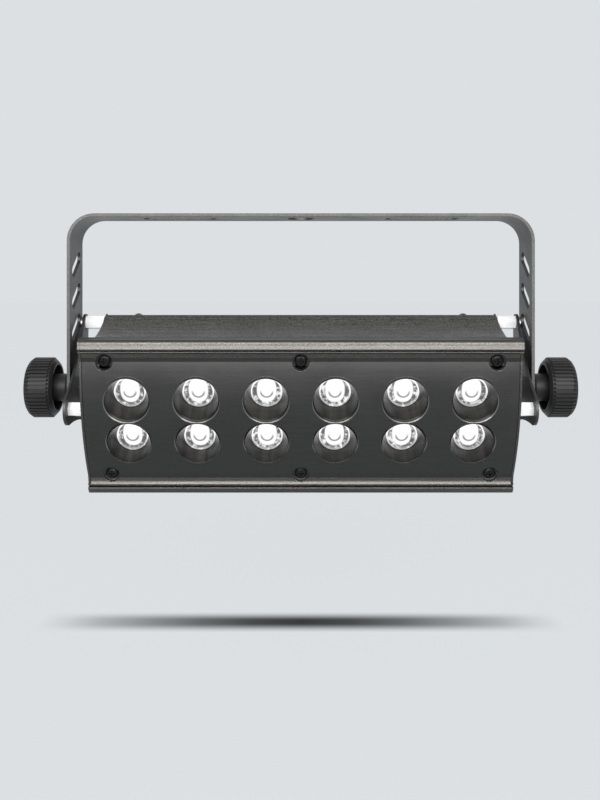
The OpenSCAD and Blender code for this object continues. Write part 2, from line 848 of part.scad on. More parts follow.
module rear_panel() {
    color([0.2, 0.2, 0.2])
    in_housing() difference() {
        translate([-extrusion_x + slide_gap, rear_in, -rear_half]) cube([2 * (extrusion_x - slide_gap), rear_t, 2 * rear_half]);
        for (p = REAR_SCREWS) rod(p[0], p[1], m3_hole_d, rear_in - cut, body_depth + cut);
        translate([inlet_x, 0, 0]) backwards(rear_in - cut, body_depth + cut)
            square([inlet_body_w + 2 * slide_gap, inlet_body_h + 2 * slide_gap], center = true);
        for (s = [1, -1]) rod(inlet_x + s * inlet_screw_pitch / 2, 0, m3_hole_d, rear_in - cut, body_depth + cut);
        rod(fuse_x, 0, fuse_hole_d + 2 * slide_gap, rear_in - cut, body_depth + cut);
        translate([switch_x, 0, 0]) backwards(rear_in - cut, body_depth + cut)
            square([switch_body_w + 2 * slide_gap, switch_body_h + 2 * slide_gap], center = true);
        for (x = [speed_x, sound_x]) rod(x, 0, bush_d + 2 * slide_gap, rear_in - cut, body_depth + cut);
        rod(mic_x, 0, mic_hole_d, rear_in - cut, body_depth + cut);
    }
}

// Pan head screw along r, its head towards the rear
module back_screw(x, v, seat, len) {
    difference() {
        union() {
            rod(x, v, head_d, seat, seat + head_h);
            rod(x, v, m3_d, seat - len, seat + run_gap);
        }
        cross_recess(x, v, seat + head_h);
    }
}

module rear_screws() {
    color([0.08, 0.08, 0.08])
    in_housing() for (p = REAR_SCREWS) back_screw(p[0], p[1], body_depth, rear_t + panel_screw_len);
}

// Socket mouth with its two cut corners, drawn in x and v
module socket_mouth() {
    w = socket_w / 2;
    h = socket_h / 2;
    polygon([[-w, -h], [w, -h], [w, h - socket_corner], [w - socket_corner, h], [-w + socket_corner, h],
             [-w, h - socket_corner]]);
}

module power_inlet() {
    front = body_depth + inlet_t;
    color([0.05, 0.05, 0.05])
    in_housing() translate([inlet_x, 0, 0]) difference() {
        union() {
            backwards(body_depth, front) difference() {
                rounded_box(inlet_w, inlet_h, 5);
                for (s = [1, -1]) translate([s * inlet_screw_pitch / 2, 0]) circle(d = m3_hole_d);
            }
            backwards(body_depth - inlet_body_deep, body_depth + cut) square([inlet_body_w, inlet_body_h], center = true);
        }
        backwards(front - socket_deep, front + cut) socket_mouth();
    }
}

module inlet_pins() {
    floor_r = body_depth + inlet_t - socket_deep;
    color([0.8, 0.78, 0.7])
    in_housing() for (p = PINS)
        translate([inlet_x + p[0], floor_r + pin_len / 2, p[1]]) cube([pin_t, pin_len, pin_w], center = true);
}

// Screws through the inlet's flange, each with a nut behind the rear panel
module inlet_screws() {
    color([0.7, 0.7, 0.71])
    in_housing() for (s = [1, -1]) {
        x = inlet_x + s * inlet_screw_pitch / 2;
        back_screw(x, 0, body_depth + inlet_t, inlet_t + rear_t + nut_h + 1.6);
        difference() {
            translate([x, rear_in, 0]) rotate([90, 0, 0]) cylinder(d = nut_af / cos(30), h = nut_h, $fn = 6);
            rod(x, 0, m3_tap_d, rear_in - nut_h - cut, rear_in + cut);
        }
    }
}

module fuse_holder() {
    color([0.05, 0.05, 0.05])
    in_housing() difference() {
        union() {
            rod(fuse_x, 0, fuse_hole_d, body_depth - fuse_deep, body_depth + cut);
            rod(fuse_x, 0, fuse_flange_d, body_depth, body_depth + fuse_flange_t);
        }
        rod(fuse_x, 0, fuse_bore_d, body_depth - fuse_deep + 2, body_depth + fuse_flange_t + cut);
    }
}

// Cap with a grip, a coin slot and a hollow stem that holds the fuse
module fuse_cap() {
    seat = body_depth + fuse_flange_t + face_gap;
    color([0.07, 0.07, 0.07])
    in_housing() difference() {
        union() {
            rod(fuse_x, 0, fuse_cap_d - cap_grip_out, seat, seat + fuse_cap_h);
            for (i = [0 : cap_grips - 1]) translate([fuse_x, 0, 0]) rotate([0, i * 360 / cap_grips, 0])
                translate([fuse_cap_d / 2 - cap_grip_out, seat + 0.4, -cap_grip_w / 2])
                    cube([cap_grip_out, fuse_cap_h - 1.4, cap_grip_w]);
            rod(fuse_x, 0, fuse_stem_d, seat - fuse_stem_len, seat + cut);
        }
        rod(fuse_x, 0, fuse_d + 2 * run_gap, seat - fuse_stem_len - cut, seat - fuse_in);
        block([fuse_x, 0], coin_slot, seat + fuse_cap_h - coin_slot[2] + cut);
    }
}

module fuse() {
    seat = body_depth + fuse_flange_t + face_gap;
    color([0.8, 0.82, 0.84])
    in_housing() rod(fuse_x, 0, fuse_d, seat - fuse_in - fuse_len, seat - fuse_in);
}

// Switch body with the pocket that the rocker swings in
module rocker_frame() {
    pocket_w = rocker_w + 2 * slide_gap;
    pocket_h = rocker_h + rocker_pocket;
    color([0.05, 0.05, 0.05])
    in_housing() translate([switch_x, 0, 0]) difference() {
        union() {
            backwards(body_depth, body_depth + switch_t) rounded_box(switch_w, switch_h, 1.5);
            backwards(body_depth - switch_deep, body_depth + cut) square([switch_body_w, switch_body_h], center = true);
        }
        backwards(body_depth - rocker_deep - rocker_pocket, body_depth + switch_t + cut)
            square([pocket_w, pocket_h], center = true);
        bar(body_depth - rocker_pin_in, 0, rocker_pin_d + 2 * run_gap, -switch_body_w / 2 - cut, switch_body_w / 2 + cut);
    }
}

// Rocker with two sloping faces on a pin, resting with its lower half pressed
module rocker() {
    half = rocker_h / 2;
    foot = rocker_pin_in - rocker_deep;
    color([0.55, 0.05, 0.05])
    in_housing() translate([switch_x, body_depth - rocker_pin_in, 0]) rotate([-rocker_tilt, 0, 0]) {
        along_bar(-rocker_w / 2, rocker_w / 2)
            polygon([[foot, -rocker_foot], [0, -half], [rocker_horn, -half], [rocker_waist, 0], [rocker_horn, half],
                     [0, half], [foot, rocker_foot]]);
        bar(0, 0, rocker_pin_d, -switch_body_w / 2, switch_body_w / 2);
    }
}

// Rotary control on the board, its bush through the rear panel
module pot(x) {
    color([0.6, 0.6, 0.62])
    in_housing() difference() {
        union() {
            rod(x, 0, pot_d, board2_front, rear_in);
            rod(x, 0, bush_d, rear_in - cut, rear_in + bush_len);
            translate([x, body_depth, 0]) rotate([-90, 0, 0]) cylinder(d = bush_nut_af / cos(30), h = bush_nut_h, $fn = 6);
        }
        rod(x, 0, shaft_d + 2 * run_gap, board2_front + 2, rear_in + bush_len + cut);
    }
}

module pot_shaft(x) {
    color([0.75, 0.75, 0.76])
    in_housing() rod(x, 0, shaft_d, board2_front + 3, body_depth + shaft_out);
}

// Control knob with flutes and a pointer line
module dial(x) {
    base = rear_in + bush_len + dial_gap;
    top = base + dial_h;
    color([0.07, 0.07, 0.07])
    in_housing() difference() {
        union() {
            rod(x, 0, dial_d, base, top - dial_bevel);
            cone(x, 0, dial_d, dial_d - 2 * dial_bevel, top - dial_bevel, top);
        }
        rod(x, 0, shaft_d, base - cut, body_depth + shaft_out);
        for (i = [0 : dial_flutes - 1]) translate([x, 0, 0]) rotate([0, i * 360 / dial_flutes, 0])
            rod(dial_d / 2 + 0.3, 0, dial_flute_d, base + dial_foot, top + cut);
        block([x, dial_d / 4 + dial_foot], [pointer_w, dial_d / 2, 2 * pointer_deep], top - pointer_deep);
    }
}

module microphone() {
    color([0.3, 0.3, 0.3])
    in_housing() rod(mic_x, 0, mic_d, board2_front, rear_in);
}

yoke();
housing_extrusion();
front_panel();
panel_screws();
for (i = [0 : 2 * lamp_cols - 1]) lens(i);
lens_carrier();
led_emitters();
led_board();
thermal_pad();
power_board();
control_board();
end_plate(-1);  // left_end_plate
end_plate(1);  // right_end_plate
end_screws(-1);  // left_end_screws
end_screws(1);  // right_end_screws
standoffs(-1);  // left_standoffs
standoffs(1);  // right_standoffs
side_plate(-1);  // left_side_plate
side_plate(1);  // right_side_plate
plate_screws(-1);  // left_plate_screws
plate_screws(1);  // right_plate_screws
pivot_nut(-1);  // left_pivot_nut
pivot_nut(1);  // right_pivot_nut
friction_washer(-1);  // left_friction_washer
friction_washer(1);  // right_friction_washer
hand_knob(-1);  // left_knob
hand_knob(1);  // right_knob
knob_stud(-1);  // left_knob_stud
knob_stud(1);  // right_knob_stud
knob_washer(-1);  // left_knob_washer
knob_washer(1);  // right_knob_washer
rear_panel();
rear_screws();
power_inlet();
inlet_pins();
inlet_screws();
fuse_holder();
fuse_cap();
fuse();
rocker_frame();
rocker();
pot(speed_x);  // speed_pot
pot_shaft(speed_x);  // speed_shaft
dial(speed_x);  // speed_knob
pot(sound_x);  // sound_pot
pot_shaft(sound_x);  // sound_shaft
dial(sound_x);  // sound_knob
microphone();
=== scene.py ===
"""Looks of the strobe light bar: finishes, lit lamps, floor, lights and camera."""

import json
import math

import bmesh
import bpy
from mathutils import Matrix, Vector


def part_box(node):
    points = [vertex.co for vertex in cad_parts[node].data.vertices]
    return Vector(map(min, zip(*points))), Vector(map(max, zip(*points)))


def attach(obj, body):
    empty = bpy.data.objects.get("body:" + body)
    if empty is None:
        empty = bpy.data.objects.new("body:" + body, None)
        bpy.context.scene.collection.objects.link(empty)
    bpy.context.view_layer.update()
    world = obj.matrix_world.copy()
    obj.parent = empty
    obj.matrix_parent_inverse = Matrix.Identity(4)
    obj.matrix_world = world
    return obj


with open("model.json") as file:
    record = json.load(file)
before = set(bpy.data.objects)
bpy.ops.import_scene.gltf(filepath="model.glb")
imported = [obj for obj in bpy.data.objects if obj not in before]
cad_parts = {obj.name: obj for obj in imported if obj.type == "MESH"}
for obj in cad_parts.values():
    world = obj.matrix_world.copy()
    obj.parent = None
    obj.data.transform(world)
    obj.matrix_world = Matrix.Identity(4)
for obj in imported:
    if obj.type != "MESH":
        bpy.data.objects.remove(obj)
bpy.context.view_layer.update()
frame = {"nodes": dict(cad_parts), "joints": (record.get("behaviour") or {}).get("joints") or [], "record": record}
NODES = frame["nodes"]

MM = 0.001


def centre(node):
    low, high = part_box(node)
    return (Vector(low) + Vector(high)) / 2


# The frame's own places: the tilt axis from its joint, the rest from a mount and from boxes of nodes
TILT = next(j for j in frame["joints"] if j["name"] == "tilt")
PIVOT = Vector(TILT["pos_m"])
MAINS = next(m for m in frame["record"]["mounts"] if m["name"] == "mains_inlet")
BACK = Vector(MAINS["axis"]).normalized()
HOUSING_TILT = math.atan2(BACK.z, BACK.y)
LAMP_PITCH = (centre("lens_2") - centre("lens_1")).length
ROW_PITCH = (centre("lens_7") - centre("lens_1")).length

# Camera, from the photograph: level, in front of the bar and a little above its middle
FRAME_W = 600
FRAME_H = 800
FOCAL_PX = 909.5
SENSOR = 36
CAMERA_BACK = 444.6 * MM
CAMERA_ABOVE = 41.65 * MM
CAMERA_NEAR = 10 * MM
HORIZON_PX = 302
MIDDLE_PX = 300.8

# The body behind the front panel, in the housing's own frame
BODY_DEPTH = 38 * MM
RAIL_DEPTH = 7 * MM
# The flat edge of the front panel starts at this height
FLANGE_HEIGHT = 27.85 * MM
# Section of the front panel's bulge: radius, and depth of its centre
BULGE_RADIUS = 98.95 * MM
BULGE_CENTRE = 96.65 * MM
# Reach of a lamp cup with its bevelled mouth, from the cup's axis
CUP_REACH = 11.6 * MM
# Depth of the bare line on a cup's mouth under the panel's surface: where it has gone, where it is full
BARE_LINE = (0.40 * MM, 0.28 * MM)
# Screw recesses: radius, what is added to find their walls, and places as x and height in millimetres
RECESS_RADIUS = 3.85 * MM
RECESS_MARGIN = 0.2 * MM
RECESSES = [(x, high) for x in (-87, 0, 87) for high in (-27.7, 27.7)]
# How squarely a face of the panel looks to the front: flat edge, bulge, cup's mouth and recess wall
FLAT_FACING = 0.9
BULGE_FACING = 0.93
MOUTH_FACING = 0.55
WALL_FACING = 0.5

# Cove strips along both edges of the front panel: start as depth and height, arc in degrees
COVE_HALF_LENGTH = 96.8 * MM
COVE_START = (1.7 * MM, 29.6 * MM)
COVE_RADIUS = 4.5 * MM
COVE_TURN = 39.3
COVE_STEPS = 14
COVE_SUNK = 0.05 * MM
CUTTER_LENGTH = 20 * MM
CUTTER_SIDES = 64

# Lit lens: half sizes of the white oval, its rise over the middle, how full it is and where it fades
LAMP_POWER = 1.05
OVAL_WIDTH = 4.4 * MM
OVAL_HEIGHT = 6.0 * MM
OVAL_RISE = 0.6 * MM
OVAL_FULLNESS = 2.3
OVAL_FADE = (1.25, 0.80)
# Its pale rim: radii of the inner fade, strength at the bottom and what the rim gains between two heights
RIM_FADE = (6.40 * MM, 6.65 * MM)
RIM_LOW = 0.40
RIM_GAIN = 0.55
RIM_HEIGHTS = (-5.0 * MM, 1.0 * MM)
# Its dark glass: least glow, and what the painted glints add, specks of reflection drawn as glow
GLASS_LOW = 0.08
PAINTED_GLINT_GAIN = 0.75
PAINTED_GLINT_FADE = (0.44, 0.70)
# Its grey arc under the middle: radii of both fades, heights of the fade at its ends, and depth of tone
ARC_INSIDE = (1.7 * MM, 2.6 * MM)
ARC_OUTSIDE = (3.5 * MM, 2.7 * MM)
ARC_ENDS = (1.4 * MM, -1.4 * MM)
ARC_TONE = 0.75

# Heights of bump textures: grain of paint, grain of plastic and metal
PAINT_RELIEF = 0.05 * MM
FINE_RELIEF = 0.03 * MM
BEVEL_SAMPLES = 6

# Studio: the backdrop, and the room round the bar by angle: 0 in front, 90 above, 180 behind, -90 below.
# The camera, metal and glass see the plain backdrop and the floor. The room lights matt surfaces only.
BACKDROP = (0.716, 0.745, 0.768)
ROOM = [(-180, 0.74), (-120, 0.75), (-84, 0.50), (-70, 0.46), (-56, 0.22), (-42, 0.09), (-25, 0.17),
        (-10, 0.80), (8, 1.2), (24, 1.65), (40, 1.5), (62, 1.15), (84, 1.0), (104, 0.5), (136, 0.22),
        (180, 0.74)]
# How much of the room's light is gone straight to the left and right of the bar
ROOM_SIDES = 0.55
# Softbox in front: elevation in degrees, distance from the tilt axis, size and radiance
SOFTBOX_ELEVATION = 20
SOFTBOX_DISTANCE = 1.0
SOFTBOX_WIDTH = 1.6
SOFTBOX_HEIGHT = 0.8
SOFTBOX_RADIANCE = 5.0
# The floor: height, half its size, the part of its tone that glows, which no cast shadow takes away, and its paint
FLOOR_Z = PIVOT.z - 114.7 * MM
FLOOR_HALF = 400.0
FLOOR_GLOW = 0.962
FLOOR_PAINT = 0.03
BLACK = (0.0, 0.0, 0.0)
# Painted shadow in the floor's colour: what it lets through by millimetres along the bar, and its reach across
PAINTED_SHADOW_ALONG = [(0, 0.06), (24.4, 0.094), (48.9, 0.19), (73.3, 0.36), (97.8, 0.60), (114.9, 0.86), (128, 1.0)]
PAINTED_SHADOW_LENGTH = PAINTED_SHADOW_ALONG[-1][0] * MM
PAINTED_SHADOW_CORE = 2.1 * MM
PAINTED_SHADOW_REACH = 15.3 * MM


def add_to_scene(obj):
    bpy.context.scene.collection.objects.link(obj)


def make_camera():
    data = bpy.data.cameras.new("camera")
    data.sensor_width = SENSOR
    data.lens = FOCAL_PX * SENSOR / FRAME_H
    data.shift_x = (FRAME_W / 2 - MIDDLE_PX) / FRAME_H
    data.shift_y = (HORIZON_PX - FRAME_H / 2) / FRAME_H
    data.clip_start = CAMERA_NEAR
    camera = bpy.data.objects.new("camera", data)
    camera.location = (0, -CAMERA_BACK, PIVOT.z + CAMERA_ABOVE)
    camera.rotation_euler = (math.radians(90), 0, 0)
    add_to_scene(camera)
    bpy.context.scene.camera = camera


# Node trees


class Tree:
    """A node tree with short calls for the nodes that it uses."""

    def __init__(self, tree):
        self.tree = tree

    def add(self, kind, **settings):
        """A new node. Settings with a capital are its inputs, the others its own properties."""
        node = self.tree.nodes.new(kind)
        for key, value in settings.items():
            if key[0].isupper():
                node.inputs[key.replace("_", " ")].default_value = value
            else:
                setattr(node, key, value)
        return node

    def link(self, source, target):
        self.tree.links.new(source, target)

    def split(self, vector):
        """X, Y and Z of a vector."""
        node = self.add("ShaderNodeSeparateXYZ")
        self.link(vector, node.inputs["Vector"])
        return [node.outputs[axis] for axis in "XYZ"]

    def calc(self, operation, *values):
        """One step of arithmetic on sockets and numbers."""
        node = self.add("ShaderNodeMath", operation=operation)
        for socket, value in zip(node.inputs, values):
            if isinstance(value, (int, float)):
                socket.default_value = value
            else:
                self.link(value, socket)
        return node.outputs["Value"]

    def length(self, a, b):
        """Length of a vector in a plane."""
        return self.calc("SQRT", self.calc("ADD", self.calc("MULTIPLY", a, a), self.calc("MULTIPLY", b, b)))

    def spread(self, value, start, end, low=0, high=1, kind="LINEAR"):
        """Low at start, high at end, and nothing beyond them."""
        node = self.add("ShaderNodeMapRange", interpolation_type=kind,
                        From_Min=start, From_Max=end, To_Min=low, To_Max=high)
        self.link(value, node.inputs["Value"])
        return node.outputs["Result"]

    def step(self, value, start, end):
        """0 at start, 1 at end, smooth between them."""
        if start < end:
            return self.spread(value, start, end, kind="SMOOTHSTEP")
        return self.spread(value, end, start, 1, 0, "SMOOTHSTEP")

    def ramp(self, fac, stops, kind="LINEAR"):
        """Tones or colours by place along the factor."""
        node = self.add("ShaderNodeValToRGB")
        node.color_ramp.interpolation = kind
        elements = node.color_ramp.elements
        while len(elements) < len(stops):
            elements.new(0.5)
        for element, (at, value) in zip(elements, stops):
            element.position = at
            element.color = (*value, 1) if isinstance(value, tuple) else (value, value, value, 1)
        self.link(fac, node.inputs["Fac"])
        return node.outputs["Color"]


class Shader(Tree):
    """A material's node tree. Its texture scales are in cells per metre."""

    def __init__(self, name):
        self.material = bpy.data.materials.new(name)
        self.material.use_nodes = True
        super().__init__(self.material.node_tree)
        self.surface = self.tree.nodes["Principled BSDF"]

    def set(self, **values):
        for key, value in values.items():
            self.surface.inputs[key.replace("_", " ")].default_value = value

    def into(self, key, output):
        self.link(output, self.surface.inputs[key.replace("_", " ")])

    def mapped(self, kind, **values):
        """Object coordinates through a mapping node of the given kind."""
        where = self.add("ShaderNodeTexCoord")
        mapping = self.add("ShaderNodeMapping", vector_type=kind, **values)
        self.link(where.outputs["Object"], mapping.inputs["Vector"])
        return mapping.outputs["Vector"]

    def place(self, scale=(1, 1, 1), tilt=0):
        """Object coordinates, turned by the tilt and scaled."""
        return self.mapped("POINT", Rotation=(tilt, 0, 0), Scale=scale)

    def housing_place(self):
        """X, Y and Z in the housing's own frame, from the tilt axis."""
        return self.split(self.mapped("TEXTURE", Location=PIVOT, Rotation=(HOUSING_TILT, 0, 0)))

    def noise(self, scale, detail=2.0, rough=0.5, vector=None):
        node = self.add("ShaderNodeTexNoise", Scale=scale, Detail=detail, Roughness=rough)
        if vector is None:
            vector = self.place()
        self.link(vector, node.inputs["Vector"])
        return node.outputs["Fac"]

    def bump(self, height, strength, distance, before=None):
        node = self.add("ShaderNodeBump", Strength=strength, Distance=distance)
        self.link(height, node.inputs["Height"])
        if before is not None:
            self.link(before, node.inputs["Normal"])
        return node.outputs["Normal"]

    def rounded(self, radius):
        """Normal with edges rounded by the radius in millimetres, so that they catch the light."""
        return self.add("ShaderNodeBevel", samples=BEVEL_SAMPLES, Radius=radius * MM).outputs["Normal"]

    def roughness(self, fac, low, high):
        """Roughness that follows a noise, from low to high."""
        self.into("Roughness", self.ramp(fac, [(0.3, low), (0.7, high)]))


def shade(colour, factor):
    return tuple(min(1.0, c * factor) for c in colour)


# Finishes


def metal_paint(name, colour, rough, grain, streak=None, rows=0.4, edge=0.25, speck=0.28, size=2600,
                deep=1.0):
    """Satin metal paint: fine grain in colour, roughness and bump, with optional rows along the housing."""
    s = Shader(name)
    s.set(Metallic=1.0)
    fine = s.noise(size, detail=3, vector=s.place((1, deep, deep)))
    paint = s.ramp(fine, [(0.30, shade(colour, 1 - speck)), (0.70, shade(colour, 1 + speck))])
    s.roughness(s.noise(55), rough - 0.04, rough + 0.05)
    normal = s.bump(fine, grain, PAINT_RELIEF, before=s.rounded(edge))
    if streak:
        lines = s.noise(900, detail=3, vector=s.place(streak, -HOUSING_TILT))
        normal = s.bump(lines, 0.3, FINE_RELIEF, before=normal)
        tone = s.add("ShaderNodeHueSaturation")
        s.link(paint, tone.inputs["Color"])
        s.link(s.calc("ADD", 1 - rows / 2, s.calc("MULTIPLY", lines, rows)), tone.inputs["Value"])
        paint = tone.outputs["Color"]
    s.into("Base Color", paint)
    s.into("Normal", normal)
    return s.material


def cup_metal(name, colour, rough):
    """Turned wall of a lamp cup: dark, with soft streaks that run from the mouth to the lens."""
    s = Shader(name)
    s.set(Metallic=1.0)
    lines = s.noise(330, vector=s.place((1, 0.06, 0.06)))
    fine = s.noise(1900)
    tones = [(0.32, shade(colour, 0.75)), (0.52, colour), (0.72, shade(colour, 1.5))]
    s.into("Base Color", s.ramp(lines, tones))
    s.roughness(fine, rough - 0.03, rough + 0.04)
    s.into("Normal", s.bump(fine, 0.15, FINE_RELIEF, before=s.rounded(0.15)))
    return s.material


def mouth_metal(name, colour, bare, rough):
    """Bevelled mouth of a lamp cup: dark, with a bare line where it meets the panel's surface."""
    s = Shader(name)
    s.set(Metallic=1.0)
    _, back, high = s.housing_place()
    chord = s.calc("SQRT", s.calc("SUBTRACT", BULGE_RADIUS ** 2, s.calc("MULTIPLY", high, high)))
    depth = s.calc("ADD", back, BODY_DEPTH)
    under = s.calc("SUBTRACT", depth, s.calc("SUBTRACT", BULGE_CENTRE, chord))
    s.into("Base Color", s.ramp(s.step(under, *BARE_LINE), [(0, colour), (1, bare)]))
    fine = s.noise(1900)
    s.roughness(fine, rough - 0.03, rough + 0.04)
    s.into("Normal", s.bump(fine, 0.15, FINE_RELIEF))
    return s.material


def plastic(name, colour, rough, grain=0.2, scale=1800, gloss=0.5):
    """Moulded plastic with fine spark-eroded grain."""
    s = Shader(name)
    s.set(Specular_IOR_Level=gloss)
    fine = s.noise(scale)
    s.into("Base Color", s.ramp(s.noise(70), [(0.3, shade(colour, 0.85)), (0.7, shade(colour, 1.15))]))
    s.roughness(fine, rough - 0.05, rough + 0.06)
    s.into("Normal", s.bump(fine, grain, FINE_RELIEF, before=s.rounded(0.2)))
    return s.material


def bare_metal(name, colour, rough, streak=(1, 30, 30), edge=0.15, metallic=1.0, relief=0.12, depth=0.02):
    """Plated or turned metal with fine lines across one axis."""
    s = Shader(name)
    s.set(Metallic=metallic)
    lines = s.noise(500, detail=3, vector=s.place(streak))
    s.into("Base Color", s.ramp(lines, [(0.3, shade(colour, 0.92)), (0.7, shade(colour, 1.05))]))
    s.roughness(lines, rough - 0.04, rough + 0.06)
    s.into("Normal", s.bump(lines, relief, depth * MM, before=s.rounded(edge)))
    return s.material


def glow(name, colour, strength):
    """Lit surface of an LED package."""
    s = Shader(name)
    s.set(Roughness=0.25, Emission_Strength=strength)
    fine = s.noise(400, detail=1)
    s.into("Base Color", s.ramp(fine, [(0.3, shade(colour, 0.95)), (0.7, colour)]))
    s.into("Emission_Color", s.ramp(fine, [(0.3, shade(colour, 0.97)), (0.7, colour)]))
    return s.material


def lamp_glass(name):
    """Lit lens: white oval, dark glass with painted glints beside it, pale rim, grey arc under the middle."""
    s = Shader(name)
    along, _, high = s.housing_place()
    side = s.calc("SUBTRACT", s.calc("WRAP", along, LAMP_PITCH, 0), LAMP_PITCH / 2)
    high = s.calc("SUBTRACT", s.calc("WRAP", high, ROW_PITCH, 0), ROW_PITCH / 2)
    out = s.length(side, high)
    wide = s.calc("DIVIDE", s.calc("ABSOLUTE", side), OVAL_WIDTH)
    tall = s.calc("ABSOLUTE", s.calc("DIVIDE", s.calc("SUBTRACT", high, OVAL_RISE), OVAL_HEIGHT))
    oval = s.calc("ADD", s.calc("POWER", wide, OVAL_FULLNESS), s.calc("POWER", tall, OVAL_FULLNESS))
    lit = s.step(oval, *OVAL_FADE)
    rim_tone = s.calc("ADD", RIM_LOW, s.calc("MULTIPLY", s.step(high, *RIM_HEIGHTS), RIM_GAIN))
    rim = s.calc("MULTIPLY", s.step(out, *RIM_FADE), rim_tone)
    # Painted glints: bright specks of reflection drawn as glow in the dark glass beside the oval
    painted_glint_noise = s.noise(520, rough=0.6)
    glass_glow_and_painted_glints = s.calc("ADD", GLASS_LOW, s.calc("MULTIPLY", s.step(painted_glint_noise, *PAINTED_GLINT_FADE), PAINTED_GLINT_GAIN))
    ring = s.calc("MULTIPLY", s.step(out, *ARC_INSIDE), s.step(out, *ARC_OUTSIDE))
    arc = s.calc("MULTIPLY", ring, s.step(high, *ARC_ENDS))
    shown = s.calc("MAXIMUM", s.calc("MAXIMUM", lit, rim), glass_glow_and_painted_glints)
    shown = s.calc("SUBTRACT", shown, s.calc("MULTIPLY", arc, ARC_TONE))
    s.set(Base_Color=(0.02, 0.021, 0.023, 1), Roughness=0.06, Specular_IOR_Level=0.8)
    s.set(Emission_Color=(1.0, 1.0, 1.0, 1))
    s.into("Emission_Strength", s.calc("MULTIPLY", shown, LAMP_POWER))
    s.into("Normal", s.bump(s.noise(900, detail=1), 0.15, PAINT_RELIEF))
    return s.material


def clear(name, colour, rough):
    """Clear glass."""
    s = Shader(name)
    s.set(Transmission_Weight=1.0, IOR=1.49)
    fine = s.noise(900, detail=1)
    s.into("Base Color", s.ramp(fine, [(0.3, shade(colour, 0.98)), (0.7, colour)]))
    s.roughness(fine, rough, rough + 0.02)
    return s.material


def board(name, colour):
    """Circuit board with a faint pattern of tracks under its solder mask."""
    s = Shader(name)
    tracks = s.add("ShaderNodeTexBrick", Scale=160.0, Mortar_Size=0.012, Color1=(*colour, 1),
                   Color2=(*shade(colour, 1.2), 1), Mortar=(*shade(colour, 1.9), 1))
    s.link(s.place(), tracks.inputs["Vector"])
    s.into("Base Color", tracks.outputs["Color"])
    s.set(Roughness=0.35)
    s.into("Normal", s.bump(tracks.outputs["Fac"], 0.2, FINE_RELIEF))
    return s.material


BODY_METAL = (0.09, 0.085, 0.08)

MATERIALS = {
    "body": metal_paint("body_finish", BODY_METAL, rough=0.3, grain=0.8, speck=0.45, size=2100),
    "extrusion": metal_paint("extrusion_finish", BODY_METAL, rough=0.29, grain=0.8,
                             streak=(0.04, 1.6, 1.6), rows=0.5, speck=0.45, size=2100),
    "scoop": metal_paint("scoop_finish", (0.095, 0.089, 0.083), rough=0.36, grain=1.0,
                         streak=(0.06, 1.1, 1.1), rows=1.1, speck=0.9, size=2100, deep=0.45),
    "panel": metal_paint("panel_finish", (0.056, 0.0555, 0.054), rough=0.34, grain=0.2,
                         streak=(0.10, 3, 3), edge=0.4, speck=0.15),
    "flange": metal_paint("flange_finish", (0.05, 0.0495, 0.048), rough=0.34, grain=0.25),
    "mouth": mouth_metal("mouth_finish", (0.03, 0.029, 0.028), bare=(0.2, 0.196, 0.19), rough=0.27),
    "bare": bare_metal("bare_finish", (0.7, 0.7, 0.69), rough=0.3),
    "cup": cup_metal("cup_finish", (0.05, 0.0485, 0.047), rough=0.27),
    "yoke": metal_paint("yoke_finish", (0.07, 0.0688, 0.0666), rough=0.42, grain=0.5),
    "screw": bare_metal("black_oxide", (0.03, 0.03, 0.03), rough=0.12, streak=(3, 3, 3), relief=1.0,
                        depth=0.25),
    "bright": bare_metal("bright_plate", (0.95, 0.95, 0.95), rough=0.22, streak=(0.1, 1, 1), edge=0.1,
                         metallic=0.3),
    "zinc": bare_metal("zinc_plate", (0.55, 0.55, 0.56), rough=0.3),
    "brass": bare_metal("pin_plate", (0.7, 0.64, 0.5), rough=0.28),
    "knob": plastic("knob_plastic", (0.014, 0.0137, 0.0133), rough=0.4, gloss=0.25),
    "black": plastic("black_plastic", (0.02, 0.02, 0.021), rough=0.45),
    "gloss": plastic("gloss_plastic", (0.018, 0.018, 0.019), rough=0.2, grain=0.05),
    "fibre": plastic("fibre", (0.03, 0.03, 0.03), rough=0.7),
    "lamp": lamp_glass("lit_lens"),
    "led": glow("lit_led", (1.0, 0.98, 0.9), strength=3.0),
    "glass": clear("clear_glass", (0.97, 0.98, 1.0), rough=0.02),
    "white_board": board("white_board", (0.75, 0.75, 0.73)),
    "green_board": board("green_board", (0.03, 0.14, 0.06)),
    "pad": plastic("pad", (0.5, 0.54, 0.6), rough=0.8),
    "felt": plastic("felt", (0.06, 0.06, 0.06), rough=0.9, grain=0.6, scale=900),
}

# Finish of each material slot in the record
FINISH = {
    "yoke_paint": "yoke",
    "body_paint": "body",
    "panel_paint": "panel",
    "black_screw": "screw",
    "bright_metal": "bright",
    "zinc_steel": "zinc",
    "clear_lens": "lamp",
    "led_package": "led",
    "board_white": "white_board",
    "thermal_grey": "pad",
    "board_green": "green_board",
    "knob_plastic": "knob",
    "black_plastic": "black",
    "black_gloss": "gloss",
    "fibre": "fibre",
    "pin_brass": "brass",
    "fuse_glass": "glass",
    "mic_metal": "felt",
}


def wear(mesh, *names):
    """Adds finishes to a mesh's list."""
    for name in names:
        mesh.materials.append(MATERIALS[name])


def dress_nodes():
    """Gives each CAD node the finish of its material slot."""
    for part in frame["record"]["subparts"]:
        mesh = NODES[part["node"]].data
        mesh.materials.clear()
        wear(mesh, FINISH[part["material_slot"]])


def to_housing(point):
    """A world point in the housing's own frame, from the tilt axis."""
    return Matrix.Rotation(-HOUSING_TILT, 3, "X") @ (point - PIVOT)


def in_cup(local):
    """Whether a point of the front panel lies within the reach of a lamp cup and its bevelled mouth."""
    side = local.x % LAMP_PITCH - LAMP_PITCH / 2
    return math.hypot(side, abs(local.z) - ROW_PITCH / 2) < CUP_REACH


def in_recess(local):
    """Whether a point of the front panel lies on the wall of a screw recess."""
    reach = RECESS_RADIUS + RECESS_MARGIN
    return any(math.hypot(local.x - x * MM, local.z - high * MM) < reach for x, high in RECESSES)


